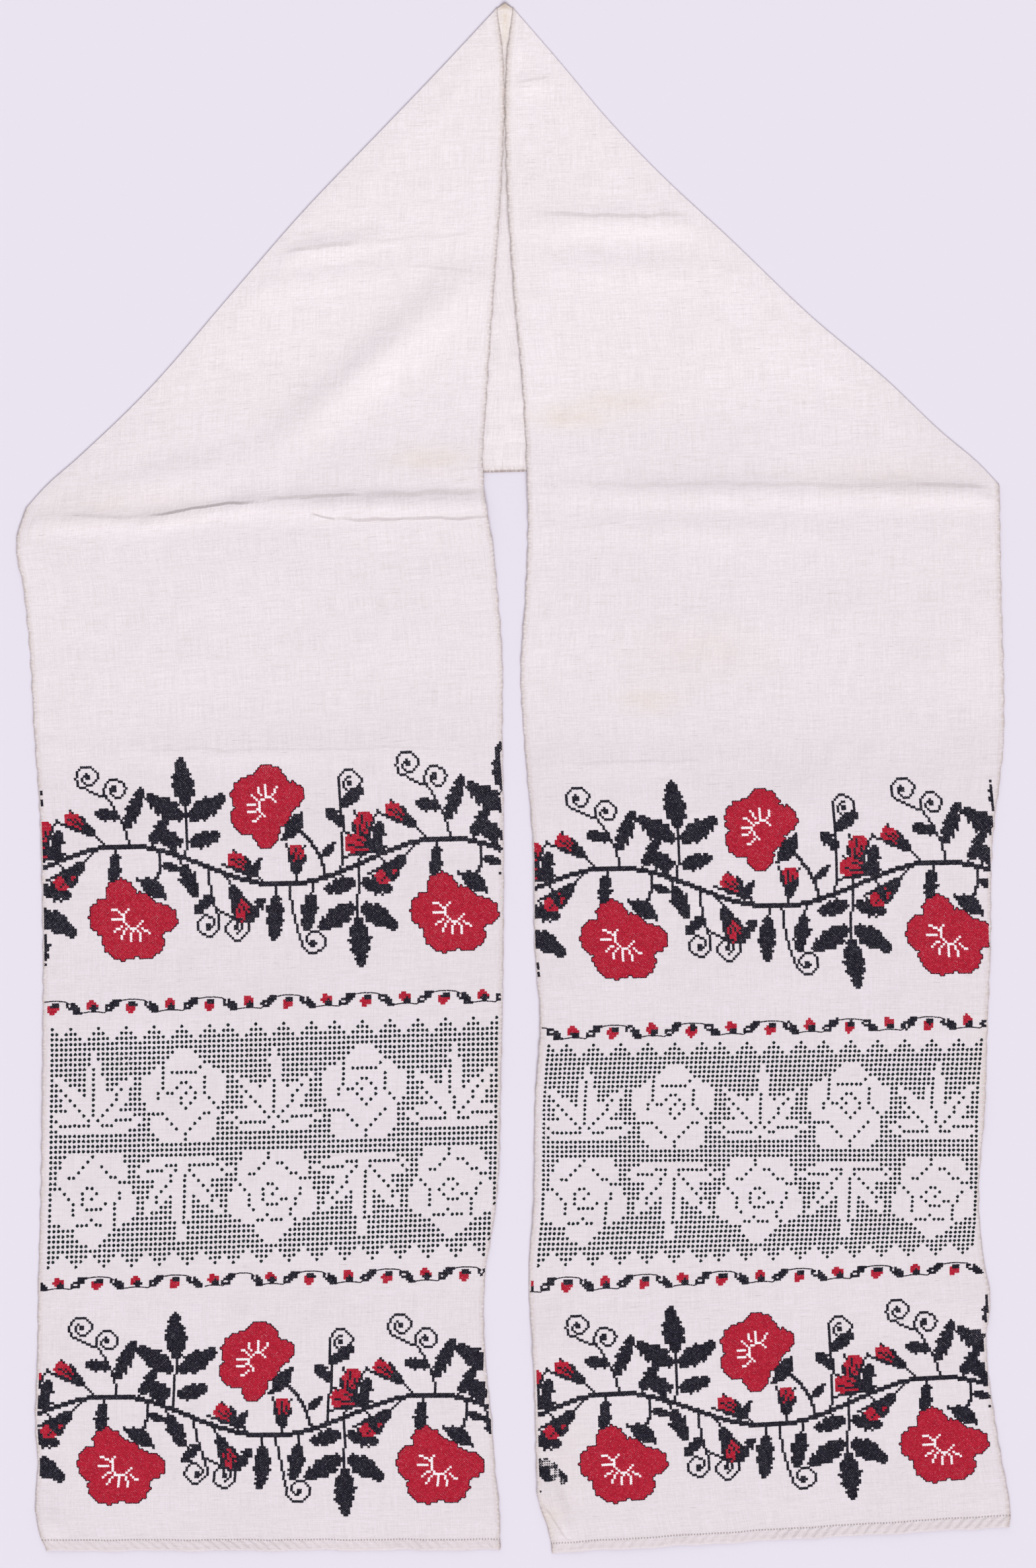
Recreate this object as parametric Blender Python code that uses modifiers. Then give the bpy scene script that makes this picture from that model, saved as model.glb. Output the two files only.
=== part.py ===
"""Rushnyk: a long ritual towel of homespun linen, laid out flat on a surface.

The strip is one piece of cloth. Its two embroidered ends lie side by side as arms along Y.
Each arm ends at a slanting fold, where the strip turns under and becomes the band, which
crosses behind both arms from one fold to the other. The two folds meet in a peak at +Y.

Units are metres, +Z is up, and the origin is on the surface under the middle of the cloth.
"""

from collections import namedtuple
from math import cos, pi, radians, sin

import bmesh
import bpy
import numpy as np

# Cloth
THICKNESS = 0.0012
LAYER_STEP = 0.0021  # from the middle of one layer to the middle of the next
FOLD_RADIUS = 0.0022  # of the soft roll in which the cloth turns under
FOLD_SETTLES = 0.045  # how far from a fold its layers close up again
FOLD_SLANT = radians(46)  # between a warp thread and the normal of a fold

# Grid
ACROSS = 22  # cells from selvage to selvage
ALONG_ARM = 56  # cells from a hem to the start of a fold
ALONG_BAND = 12  # cells from one fold to the other
ROLL_STEPS = 6  # cells round the half turn of a fold
ROLL_MARGIN = 0.012  # a plain row on each side of a fold's roll

# The band's lower selvage bows up in the middle, and its upper one does so at the peak.
BAND_LOWER_BOW = 0.021
BAND_UPPER_BOW = 0.0035
PEAK_RISE = 0.0020  # how far the band's upper selvage curls up off the surface
PEAK_SHARE = 0.12  # of the band's width that curls up there

ARM_DROPS = 0.020  # over this length an arm comes down from the band to the surface

LINEN = (0.80, 0.76, 0.72, 1.0)
LINEN_ROUGHNESS = 0.9

# Where each arm's selvages run: y, then x of the outer and of the inner selvage.
# An outer selvage ends at its fold, and its upper rows only carry its line on.
Edge = namedtuple("Edge", "y outer inner")
LEFT_EDGES = [
    Edge(-0.638, -0.386, -0.011),
    Edge(-0.622, -0.392, -0.011),
    Edge(-0.598, -0.395, -0.012),
    Edge(-0.572, -0.393, -0.015),
    Edge(-0.528, -0.395, -0.018),
    Edge(-0.503, -0.394, -0.021),
    Edge(-0.400, -0.392, -0.022),
    Edge(-0.366, -0.391, -0.016),
    Edge(-0.236, -0.389, -0.010),
    Edge(-0.108, -0.389, -0.008),
    Edge(-0.034, -0.391, -0.008),
    Edge(0.042, -0.396, -0.009),
    Edge(0.097, -0.399, -0.009),
    Edge(0.152, -0.404, -0.013),
    Edge(0.200, -0.410, -0.018),
    Edge(0.222, -0.403, -0.022),
    Edge(0.252, -0.400, -0.025),
    Edge(0.315, -0.398, -0.022),
    Edge(0.405, -0.397, -0.016),
    Edge(0.508, -0.396, -0.009),
    Edge(0.588, -0.395, -0.008),
    Edge(0.637, -0.395, -0.013),
]
RIGHT_EDGES = [
    Edge(-0.640, 0.410, 0.032),
    Edge(-0.618, 0.410, 0.028),
    Edge(-0.599, 0.410, 0.021),
    Edge(-0.572, 0.405, 0.019),
    Edge(-0.531, 0.398, 0.018),
    Edge(-0.458, 0.391, 0.015),
    Edge(-0.430, 0.394, 0.013),
    Edge(-0.400, 0.389, 0.013),
    Edge(-0.362, 0.385, 0.016),
    Edge(-0.263, 0.390, 0.018),
    Edge(-0.198, 0.392, 0.022),
    Edge(-0.149, 0.394, 0.018),
    Edge(-0.051, 0.396, 0.016),
    Edge(0.031, 0.405, 0.009),
    Edge(0.086, 0.405, 0.006),
    Edge(0.152, 0.403, 0.010),
    Edge(0.206, 0.402, 0.012),
    Edge(0.252, 0.401, 0.011),
    Edge(0.315, 0.399, 0.008),
    Edge(0.405, 0.397, 0.000),
    Edge(0.508, 0.395, -0.006),
    Edge(0.588, 0.395, -0.006),
    Edge(0.637, 0.395, -0.001),
]

# The outline of each fold, from its low outer end to the peak.
FoldPoint = namedtuple("FoldPoint", "x y")
LEFT_FOLD = [
    FoldPoint(-0.404, 0.221),
    FoldPoint(-0.388, 0.239),
    FoldPoint(-0.360, 0.264),
    FoldPoint(-0.299, 0.323),
    FoldPoint(-0.235, 0.397),
    FoldPoint(-0.176, 0.465),
    FoldPoint(-0.107, 0.537),
    FoldPoint(-0.060, 0.586),
    FoldPoint(-0.013, 0.6365),
]
RIGHT_FOLD = [
    FoldPoint(0.402, 0.241),
    FoldPoint(0.388, 0.256),
    FoldPoint(0.352, 0.287),
    FoldPoint(0.310, 0.327),
    FoldPoint(0.246, 0.381),
    FoldPoint(0.179, 0.445),
    FoldPoint(0.118, 0.502),
    FoldPoint(0.076, 0.546),
    FoldPoint(0.040, 0.589),
    FoldPoint(-0.001, 0.6365),
]

# Each hem, at its outer and at its inner corner.
LEFT_HEM = (-0.6385, -0.6375)
RIGHT_HEM = (-0.6185, -0.6400)

# Soft ridges in the arms, from one end to the other, with their height and half width.
Ridge = namedtuple("Ridge", "x0 y0 x1 y1 height half_width")
RIDGES = [
    Ridge(-0.390, 0.211, -0.260, 0.214, 0.0030, 0.010),  # the ruck where the left arm steps down
    Ridge(-0.275, 0.213, -0.020, 0.224, 0.0050, 0.011),
    Ridge(-0.200, 0.365, -0.030, 0.385, 0.0025, 0.016),  # slack across the left arm's triangle
    Ridge(-0.200, 0.270, -0.075, 0.400, 0.0025, 0.022),
    Ridge(0.015, 0.450, 0.150, 0.438, 0.0025, 0.014),
    Ridge(0.025, 0.228, 0.385, 0.226, 0.0020, 0.012),
    Ridge(0.040, -0.180, 0.048, -0.330, 0.0030, 0.011),  # pleats beside the right inner selvage
    Ridge(0.027, -0.560, 0.052, -0.628, 0.0025, 0.009),  # the creased corner of the right hem
    Ridge(-0.388, -0.600, -0.374, -0.630, 0.0020, 0.010),
]


def column(rows, name):
    return np.array([getattr(row, name) for row in rows])


def eased(x):
    """0 below 0, 1 above 1, and a smooth step between."""
    x = np.clip(x, 0.0, 1.0)
    return x * x * (3.0 - 2.0 * x)


def smooth_read(at, known, values):
    """A smooth curve through a table, read at many places (a cubic Hermite spline)."""
    slope = np.gradient(values, known)
    k = np.clip(np.searchsorted(known, at) - 1, 0, len(known) - 2)
    step = known[k + 1] - known[k]
    u = np.clip((at - known[k]) / step, 0.0, 1.0)
    return (
        (1 + 2 * u) * (1 - u) ** 2 * values[k]
        + u * (1 - u) ** 2 * step * slope[k]
        + u * u * (3 - 2 * u) * values[k + 1]
        + u * u * (u - 1) * step * slope[k + 1]
    )


class Arm:
    """One embroidered end. Across is 0 at its outer selvage and 1 at its inner one."""

    def __init__(self, edges, fold, hem):
        self.y, self.outer, self.inner = (column(edges, name) for name in Edge._fields)
        fold = sorted(fold)
        self.fold_x, self.fold_height = column(fold, "x"), column(fold, "y")
        self.hem = hem

    def x_at(self, across, y):
        outer = smooth_read(y, self.y, self.outer)
        return outer + (smooth_read(y, self.y, self.inner) - outer) * across

    def fold_y(self, across):
        """Where the thread at this place meets the fold's outline."""
        y = self.fold_height.min() + np.ptp(self.fold_height) * across
        for _ in range(20):
            y = smooth_read(self.x_at(across, y), self.fold_x, self.fold_height)
        return y

    def place(self, across, share, short_of_fold):
        """x and y at a share of the thread's length, then back from the fold."""
        low = self.hem[0] + (self.hem[1] - self.hem[0]) * across
        y = low + (self.fold_y(across) - low) * share - short_of_fold
        return self.x_at(across, y), y

    def fold_end(self, across):
        return self.place(across, 1.0, 0.0)


LEFT = Arm(LEFT_EDGES, LEFT_FOLD, LEFT_HEM)
RIGHT = Arm(RIGHT_EDGES, RIGHT_FOLD, RIGHT_HEM)


def peak_share(across):
    """1 on the band's upper selvage, and 0 where the peak's curl has died away."""
    return eased(1 - (1 - across) / PEAK_SHARE)


def between_folds(across):
    """x and y where the band's thread leaves the left fold, and where it meets the right one."""
    return LEFT.fold_end(across) + RIGHT.fold_end(across)


def band_place(across, share):
    """x and y on the band's thread, from the left fold, 0, to the right one, 1."""
    x0, y0, x1, y1 = between_folds(across)
    bow = BAND_LOWER_BOW * (1 - across) * np.sin(pi * share)
    bow = bow + BAND_UPPER_BOW * peak_share(across) * np.sin(pi * share) ** 2
    return x0 + (x1 - x0) * share, y0 + (y1 - y0) * share + bow


def band_lower_edge(x):
    """y of the band's lower selvage, under the arms."""
    x0, _, x1, _ = between_folds(0.0)
    return band_place(0.0, np.clip((x - x0) / (x1 - x0), 0.0, 1.0))[1]


def peak_curl(across, share):
    """The band's upper selvage curls up off the surface between the two folds."""
    return PEAK_RISE * peak_share(across) * np.sin(pi * share) ** 2


def ridge_height(x, y):
    total = 0.0
    for r in RIDGES:
        run, rise = r.x1 - r.x0, r.y1 - r.y0
        along = ((x - r.x0) * run + (y - r.y0) * rise) / (run * run + rise * rise)
        along = np.clip(along, 0.0, 1.0)
        away = np.hypot(x - r.x0 - run * along, y - r.y0 - rise * along)
        bell = np.exp(-((away / r.half_width) ** 2))
        bell = np.where(bell > 0.01, bell - 0.01, 0.0)
        total = total + r.height * bell * np.sin(pi * (0.12 + 0.76 * along))
    return total


def arm_height(x, y, from_fold):
    """The middle of the cloth in an arm, which lies over the band and then on the surface."""
    on_band = eased((y - band_lower_edge(x)) / ARM_DROPS + 1.0)
    swell = (2 * FOLD_RADIUS - LAYER_STEP) * (1 - eased(from_fold / FOLD_SETTLES))
    ridges = ridge_height(x, y) * eased(2 * from_fold / FOLD_SETTLES)
    return THICKNESS / 2 + LAYER_STEP * on_band + swell + ridges


def roll_rows():
    """How far each row of a fold's roll is past the middle of the fold, along the cloth."""
    half_turn = pi * FOLD_RADIUS
    rows = [half_turn * (k / ROLL_STEPS - 0.5) for k in range(ROLL_STEPS + 1)]
    return [rows[0] - ROLL_MARGIN] + rows + [rows[-1] + ROLL_MARGIN]


def roll_section(past):
    """How far inside the fold's outline a row lies, and its share of the roll's height."""
    if abs(past) >= FOLD_RADIUS * pi / 2:
        return abs(past) - FOLD_RADIUS * (pi / 2 - 1), 1.0 if past < 0 else 0.0
    turn = past / FOLD_RADIUS
    return FOLD_RADIUS * (1 - cos(turn)), (1 - sin(turn)) / 2


def along_thread(past):
    """How far a row of the roll is from the fold's outline, along a thread."""
    return roll_section(past)[0] / cos(FOLD_SLANT)


def arm_row(arm, share):
    """A row between the hem, 0, and the first row of the fold's roll, 1."""

    def points(across):
        x, y = arm.place(across, share, along_thread(roll_rows()[0]) * share)
        from_fold = (arm.fold_y(across) - y) * cos(FOLD_SLANT) - FOLD_RADIUS
        return x, y, arm_height(x, y, from_fold)

    return points


def share_from_fold(arm, across, back):
    """The place on the band's thread this far back from an arm's fold."""
    x0, y0, x1, y1 = between_folds(across)
    share = np.minimum(back / np.hypot(x1 - x0, y1 - y0), 0.45)
    return share if arm is LEFT else 1.0 - share


def roll_row(arm, past):
    """A row of the roll. Before the middle of the fold it is on the arm, then on the band."""
    inside, share_of_height = roll_section(past)

    def on_arm(across):
        x, y = arm.place(across, 1.0, along_thread(past))
        top = arm_height(x, y, max(inside - FOLD_RADIUS, 0.0)) - THICKNESS / 2
        return x, y, THICKNESS / 2 + top * share_of_height

    def on_band(across):
        share = share_from_fold(arm, across, along_thread(past))
        x, y = band_place(across, share)
        height = THICKNESS / 2 + 2 * FOLD_RADIUS * share_of_height
        return x, y, height + peak_curl(across, share)

    return on_arm if past < 0 else on_band


def band_row(part_way):
    """A row of the band, part way from the last row of one roll to that of the other."""

    def points(across):
        back = along_thread(roll_rows()[-1])
        first = share_from_fold(LEFT, across, back)
        last = share_from_fold(RIGHT, across, back)
        share = first + (last - first) * part_way
        x, y = band_place(across, share)
        return x, y, THICKNESS / 2 + peak_curl(across, share)

    return points


def cloth_rows():
    """Every row of the cloth, from the left hem over the two folds to the right hem."""
    arm_shares = [k / ALONG_ARM for k in range(ALONG_ARM)]
    return (
        [arm_row(LEFT, share) for share in arm_shares]
        + [roll_row(LEFT, past) for past in roll_rows()]
        + [band_row(k / ALONG_BAND) for k in range(1, ALONG_BAND)]
        + [roll_row(RIGHT, past) for past in reversed(roll_rows())]
        + [arm_row(RIGHT, share) for share in reversed(arm_shares)]
    )


def linen_material():
    material = bpy.data.materials.new("linen")
    material.use_nodes = True
    shader = material.node_tree.nodes["Principled BSDF"]
    shader.inputs["Base Color"].default_value = LINEN
    shader.inputs["Roughness"].default_value = LINEN_ROUGHNESS
    shader.inputs["Metallic"].default_value = 0.0
    material.diffuse_color = LINEN
    return material


def towel_cloth(collection):
    """The whole strip: an open sheet on the rows, thickened to a closed solid."""
    across = np.linspace(0.0, 1.0, ACROSS + 1)
    sheet = bmesh.new()
    grid = []
    for row in cloth_rows():
        x, y, z = row(across)
        grid.append([sheet.verts.new(point) for point in zip(x, y, z)])
    for lower, upper in zip(grid, grid[1:]):
        for k in range(ACROSS):
            sheet.faces.new((lower[k], lower[k + 1], upper[k + 1], upper[k]))
    mesh = bpy.data.meshes.new("towel_cloth")
    sheet.to_mesh(mesh)
    sheet.free()
    mesh.materials.append(linen_material())
    mesh.shade_smooth()

    cloth = bpy.data.objects.new("towel_cloth", mesh)
    collection.objects.link(cloth)
    thicken = cloth.modifiers.new("Cloth thickness", "SOLIDIFY")
    thicken.thickness = THICKNESS
    thicken.offset = 0.0


def main():
    for existing in list(bpy.data.objects):
        bpy.data.objects.remove(existing, do_unlink=True)
    collection = bpy.data.collections.new("rushnyk_towel")
    bpy.context.scene.collection.children.link(collection)
    towel_cloth(collection)


main()
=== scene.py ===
"""The looks of the rushnyk: homespun linen with cross-stitched ends, laid out on a pale floor.

The cloth follows the CAD solid's layout on a finer grid. The embroidery is real thread: every
cross, backstitch and stamen is a small raised strip that lies on the cloth. Flowers, vine and
filet are charted here by functions, in stitches counted from the left selvage and the band's
lowest row. Units are metres unless a comment says stitches.
"""

from collections import namedtuple
from math import cos, pi, radians, sin

import bpy
import numpy as np
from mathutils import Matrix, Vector


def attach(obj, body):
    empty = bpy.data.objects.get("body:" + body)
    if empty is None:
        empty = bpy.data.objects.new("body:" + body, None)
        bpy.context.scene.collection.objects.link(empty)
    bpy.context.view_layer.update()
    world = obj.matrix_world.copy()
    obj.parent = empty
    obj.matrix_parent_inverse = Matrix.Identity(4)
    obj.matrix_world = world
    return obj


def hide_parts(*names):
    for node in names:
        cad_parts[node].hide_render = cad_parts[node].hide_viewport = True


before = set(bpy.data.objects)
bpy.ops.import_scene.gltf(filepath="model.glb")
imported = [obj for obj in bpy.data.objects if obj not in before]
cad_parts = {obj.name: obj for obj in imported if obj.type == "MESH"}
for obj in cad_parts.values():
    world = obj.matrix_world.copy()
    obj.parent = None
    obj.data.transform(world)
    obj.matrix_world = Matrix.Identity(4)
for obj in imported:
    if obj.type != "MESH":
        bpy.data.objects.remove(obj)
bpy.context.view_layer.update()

# Cloth
WIDTH = 0.385  # loom width
THICKNESS = 0.0006
LAYER_STEP = 0.0010  # from the middle of one layer to the middle of the next
FOLD_RADIUS = 0.0005  # of the soft roll in which the cloth turns under
FOLD_SETTLES = 0.045  # how far from a fold its layers close up again
FOLD_SLANT = radians(46)  # between a warp thread and the normal of a fold

# Grid
CELL_ACROSS = 0.0044
CELL_HEM = 0.0017
CELL_WORKED = 0.0062  # along the embroidered part
CELL_PLAIN = 0.0034  # along the plain part, which holds the creases
CELL_BAND = 0.0125
HEM_SHARE = 0.016  # share of an arm's length that takes the hem's fine rows
WORKED_SHARE = 0.60  # share of an arm's length up to the end of the embroidered part
ROLL_STEPS = 8  # cells round the half turn of a fold
ROLL_MARGIN = 0.010  # a plain row on each side of a fold's roll
ARM_LENGTH, BAND_LENGTH = 1.08, 0.40  # about, to count the rows

# The band's lower selvage bows up in the middle, and its upper one does so at the peak.
BAND_LOWER_BOW = 0.021
BAND_UPPER_BOW = 0.0035
PEAK_RISE = 0.0020
PEAK_SHARE = 0.12

ARM_DROPS = 0.020  # over this length an arm comes down from the band to the surface

# Where each arm's selvages run: y, then x of the outer and of the inner selvage.
Edge = namedtuple("Edge", "y outer inner")
LEFT_EDGES = [
    Edge(-0.638, -0.386, -0.011),
    Edge(-0.622, -0.392, -0.011),
    Edge(-0.598, -0.395, -0.012),
    Edge(-0.572, -0.393, -0.015),
    Edge(-0.528, -0.395, -0.018),
    Edge(-0.503, -0.394, -0.021),
    Edge(-0.400, -0.392, -0.022),
    Edge(-0.366, -0.391, -0.016),
    Edge(-0.236, -0.389, -0.010),
    Edge(-0.108, -0.389, -0.008),
    Edge(-0.034, -0.391, -0.008),
    Edge(0.042, -0.396, -0.009),
    Edge(0.097, -0.399, -0.009),
    Edge(0.152, -0.404, -0.013),
    Edge(0.200, -0.410, -0.018),
    Edge(0.222, -0.403, -0.022),
    Edge(0.252, -0.400, -0.025),
    Edge(0.315, -0.398, -0.022),
    Edge(0.405, -0.397, -0.016),
    Edge(0.508, -0.396, -0.009),
    Edge(0.588, -0.395, -0.008),
    Edge(0.637, -0.395, -0.013),
]
RIGHT_EDGES = [
    Edge(-0.640, 0.410, 0.032),
    Edge(-0.618, 0.410, 0.028),
    Edge(-0.599, 0.410, 0.021),
    Edge(-0.572, 0.405, 0.019),
    Edge(-0.531, 0.398, 0.018),
    Edge(-0.458, 0.391, 0.015),
    Edge(-0.430, 0.394, 0.013),
    Edge(-0.400, 0.389, 0.013),
    Edge(-0.362, 0.385, 0.016),
    Edge(-0.263, 0.390, 0.018),
    Edge(-0.198, 0.392, 0.022),
    Edge(-0.149, 0.394, 0.018),
    Edge(-0.051, 0.396, 0.016),
    Edge(0.031, 0.405, 0.009),
    Edge(0.086, 0.405, 0.006),
    Edge(0.152, 0.403, 0.010),
    Edge(0.206, 0.402, 0.012),
    Edge(0.252, 0.401, 0.011),
    Edge(0.315, 0.399, 0.008),
    Edge(0.405, 0.397, 0.000),
    Edge(0.508, 0.395, -0.006),
    Edge(0.588, 0.395, -0.006),
    Edge(0.637, 0.395, -0.001),
]

# The outline of each fold, from its low outer end to the peak.
FoldPoint = namedtuple("FoldPoint", "x y")
LEFT_FOLD = [
    FoldPoint(-0.404, 0.221),
    FoldPoint(-0.388, 0.239),
    FoldPoint(-0.360, 0.264),
    FoldPoint(-0.299, 0.323),
    FoldPoint(-0.235, 0.397),
    FoldPoint(-0.176, 0.465),
    FoldPoint(-0.107, 0.537),
    FoldPoint(-0.060, 0.586),
    FoldPoint(-0.013, 0.6365),
]
RIGHT_FOLD = [
    FoldPoint(0.402, 0.241),
    FoldPoint(0.388, 0.256),
    FoldPoint(0.352, 0.287),
    FoldPoint(0.310, 0.327),
    FoldPoint(0.246, 0.381),
    FoldPoint(0.179, 0.445),
    FoldPoint(0.118, 0.502),
    FoldPoint(0.076, 0.546),
    FoldPoint(0.040, 0.589),
    FoldPoint(-0.001, 0.6365),
]

# Each hem, at its outer and at its inner corner.
LEFT_HEM = (-0.6385, -0.6375)
RIGHT_HEM = (-0.6185, -0.6400)

# How far a weft thread rises from the left selvage to the right one, at each height.
Weft = namedtuple("Weft", "y rise")
LEFT_WEFTS = [
    Weft(-0.640, 0.0005),
    Weft(-0.520, 0.0020),
    Weft(-0.440, 0.0050),
    Weft(-0.410, 0.0105),
    Weft(-0.300, 0.0085),
    Weft(-0.185, 0.0108),
    Weft(-0.060, 0.0090),
    Weft(0.000, 0.0160),
    Weft(0.030, 0.0200),
    Weft(0.600, 0.0180),
]
RIGHT_WEFTS = [
    Weft(-0.640, 0.0230),
    Weft(-0.560, 0.0240),
    Weft(-0.480, 0.0180),
    Weft(-0.415, 0.0170),
    Weft(-0.390, 0.0095),
    Weft(-0.205, 0.0055),
    Weft(-0.100, 0.0060),
    Weft(0.000, 0.0115),
    Weft(0.600, 0.0110),
]

# Soft ridges and, where the height is negative, troughs in the arms.
Ridge = namedtuple("Ridge", "x0 y0 x1 y1 height half_width")
RIDGES = [
    Ridge(-0.398, 0.2105, -0.285, 0.2120, 0.0036, 0.008),  # the ruck where the left arm steps down
    Ridge(-0.305, 0.2115, -0.205, 0.2255, 0.0048, 0.006),
    Ridge(-0.225, 0.2240, -0.020, 0.2265, 0.0064, 0.009),
    Ridge(-0.165, 0.2030, -0.012, 0.2055, 0.0022, 0.012),
    Ridge(-0.198, 0.4310, -0.105, 0.4440, 0.0034, 0.008),  # slack across the left arm's triangle
    Ridge(-0.230, 0.4020, -0.085, 0.4230, 0.0020, 0.012),
    Ridge(-0.200, 0.2680, -0.040, 0.4060, 0.0066, 0.018),
    Ridge(-0.330, 0.2420, -0.220, 0.2620, 0.0022, 0.012),
    Ridge(0.012, 0.4570, 0.158, 0.4580, 0.0030, 0.010),  # slack across the right arm's triangle
    Ridge(0.012, 0.4250, 0.175, 0.4150, 0.0020, 0.014),
    Ridge(0.000, 0.5700, 0.036, 0.5760, 0.0017, 0.006),
    Ridge(0.020, 0.2350, 0.398, 0.2340, 0.0036, 0.010),
    Ridge(0.290, 0.2360, 0.402, 0.2320, 0.0022, 0.007),
    Ridge(0.030, 0.2080, 0.260, 0.2040, 0.0017, 0.012),
    Ridge(-0.385, 0.0210, -0.050, 0.0230, 0.0010, 0.010),  # above the flowers
    Ridge(0.015, 0.0120, 0.200, 0.0140, 0.0010, 0.010),
    Ridge(0.026, -0.1750, 0.040, -0.3400, 0.0018, 0.009),  # pleats beside the right inner selvage
    Ridge(0.047, -0.2100, 0.052, -0.3900, 0.0010, 0.010),
    Ridge(0.027, -0.5750, 0.046, -0.6270, 0.0050, 0.005),  # the creased corner of the right hem
    Ridge(0.380, -0.4350, 0.394, -0.4600, 0.0012, 0.010),
    Ridge(0.392, -0.5700, 0.408, -0.6200, 0.0014, 0.009),
    Ridge(-0.388, -0.6000, -0.374, -0.6300, 0.0028, 0.010),
]

# Stitches
STITCH = 0.00191  # a cross stitch along the weft
THREAD = 0.00120  # width of a stitched thread
UNDER_RISE = 0.00022  # how high each leg of a cross stands off the cloth
OVER_RISE = 0.00040
CHART_COLUMNS = 201  # stitches across an arm
OUTLINE_RISE, VINE_RISE, LINE_WIDTH = 0.00048, 0.00035, 0.00105  # backstitches
FILET_SWELL, FILET_THREAD = 0.50, 0.00160  # crosses of the filet are small and thick
EMPTY, BLACK, RED, WHITE, GREEN = range(5)


def column(rows, name):
    return np.array([getattr(row, name) for row in rows])


def eased(x):
    """0 below 0, 1 above 1, and a smooth step between."""
    x = np.clip(x, 0.0, 1.0)
    return x * x * (3.0 - 2.0 * x)


def smooth_read(at, known, values):
    """A smooth curve through a table, read at many places (a cubic Hermite spline)."""
    slope = np.gradient(values, known)
    k = np.clip(np.searchsorted(known, at) - 1, 0, len(known) - 2)
    step = known[k + 1] - known[k]
    u = np.clip((at - known[k]) / step, 0.0, 1.0)
    return (
        (1 + 2 * u) * (1 - u) ** 2 * values[k]
        + u * (1 - u) ** 2 * step * slope[k]
        + u * u * (3 - 2 * u) * values[k + 1]
        + u * u * (u - 1) * step * slope[k + 1]
    )


# ---------------------------------------------------------------- the lie of the cloth


class Arm:
    """One embroidered end. Across is 0 at its outer selvage and 1 at its inner one."""

    def __init__(self, edges, fold, hem, wefts, outer_is_left):
        self.y, self.outer, self.inner = (column(edges, name) for name in Edge._fields)
        fold = sorted(fold)
        self.fold_x, self.fold_height = column(fold, "x"), column(fold, "y")
        self.hem = hem
        self.weft_y, self.rise = column(wefts, "y"), column(wefts, "rise")
        self.outer_is_left = outer_is_left

    def x_at(self, across, y):
        outer = smooth_read(y, self.y, self.outer)
        return outer + (smooth_read(y, self.y, self.inner) - outer) * across

    def fold_y(self, across):
        """Where the thread at this place meets the fold's outline."""
        y = self.fold_height.min() + np.ptp(self.fold_height) * across
        for _ in range(20):
            y = smooth_read(self.x_at(across, y), self.fold_x, self.fold_height)
        return y

    def place(self, across, share, short_of_fold):
        """x and y at a share of the thread's length, then back from the fold."""
        low = self.hem[0] + (self.hem[1] - self.hem[0]) * across
        y = low + (self.fold_y(across) - low) * share - short_of_fold
        return self.x_at(across, y), y

    def fold_end(self, across):
        return self.place(across, 1.0, 0.0)

    def from_left(self, across):
        return across if self.outer_is_left else 1.0 - across

    def weft_rise(self, across, level):
        """How far a weft thread stands above its level in the middle of the arm."""
        return smooth_read(level, self.weft_y, self.rise) * (self.from_left(across) - 0.5)

    def level(self, across, y):
        """The height in the middle of the arm of the weft thread that passes here."""
        level = y
        for _ in range(4):
            level = y - self.weft_rise(across, level)
        return level

    def side_x(self, y):
        """x of the left and of the right selvage."""
        outer = smooth_read(y, self.y, self.outer)
        inner = smooth_read(y, self.y, self.inner)
        return (outer, inner) if self.outer_is_left else (inner, outer)

    def on_cloth(self, from_left, level):
        """x, y and z of the upper face, this far from the left selvage, and the share of the width."""
        y = level + smooth_read(level, self.weft_y, self.rise) * (from_left / WIDTH - 0.5)
        left, right = self.side_x(y)
        x = left + from_left
        return x, y, arm_height(self, x, y, np.inf) + THICKNESS / 2, from_left / (right - left)


LEFT = Arm(LEFT_EDGES, LEFT_FOLD, LEFT_HEM, LEFT_WEFTS, True)
RIGHT = Arm(RIGHT_EDGES, RIGHT_FOLD, RIGHT_HEM, RIGHT_WEFTS, False)


def peak_share(across):
    """1 on the band's upper selvage, and 0 where the peak's curl has died away."""
    return eased(1 - (1 - across) / PEAK_SHARE)


def between_folds(across):
    """x and y where the band's thread leaves the left fold, and where it meets the right one."""
    return LEFT.fold_end(across) + RIGHT.fold_end(across)


def band_place(across, share):
    """x and y on the band's thread, from the left fold, 0, to the right one, 1."""
    x0, y0, x1, y1 = between_folds(across)
    bow = BAND_LOWER_BOW * (1 - across) * np.sin(pi * share)
    bow = bow + BAND_UPPER_BOW * peak_share(across) * np.sin(pi * share) ** 2
    return x0 + (x1 - x0) * share, y0 + (y1 - y0) * share + bow


def band_lower_edge(x):
    """y of the band's lower selvage, under the arms."""
    x0, _, x1, _ = between_folds(0.0)
    return band_place(0.0, np.clip((x - x0) / (x1 - x0), 0.0, 1.0))[1]


def peak_curl(across, share):
    """The band's upper selvage curls up off the surface between the two folds."""
    return PEAK_RISE * peak_share(across) * np.sin(pi * share) ** 2


def ridge_height(x, y):
    total = 0.0
    for r in RIDGES:
        run, rise = r.x1 - r.x0, r.y1 - r.y0
        along = ((x - r.x0) * run + (y - r.y0) * rise) / (run * run + rise * rise)
        along = np.clip(along, 0.0, 1.0)
        away = np.hypot(x - r.x0 - run * along, y - r.y0 - rise * along)
        bell = np.exp(-((away / r.half_width) ** 2))
        bell = np.where(bell > 0.01, bell - 0.01, 0.0)
        total = total + r.height * bell * np.sin(pi * (0.12 + 0.76 * along))
    return total


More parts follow.
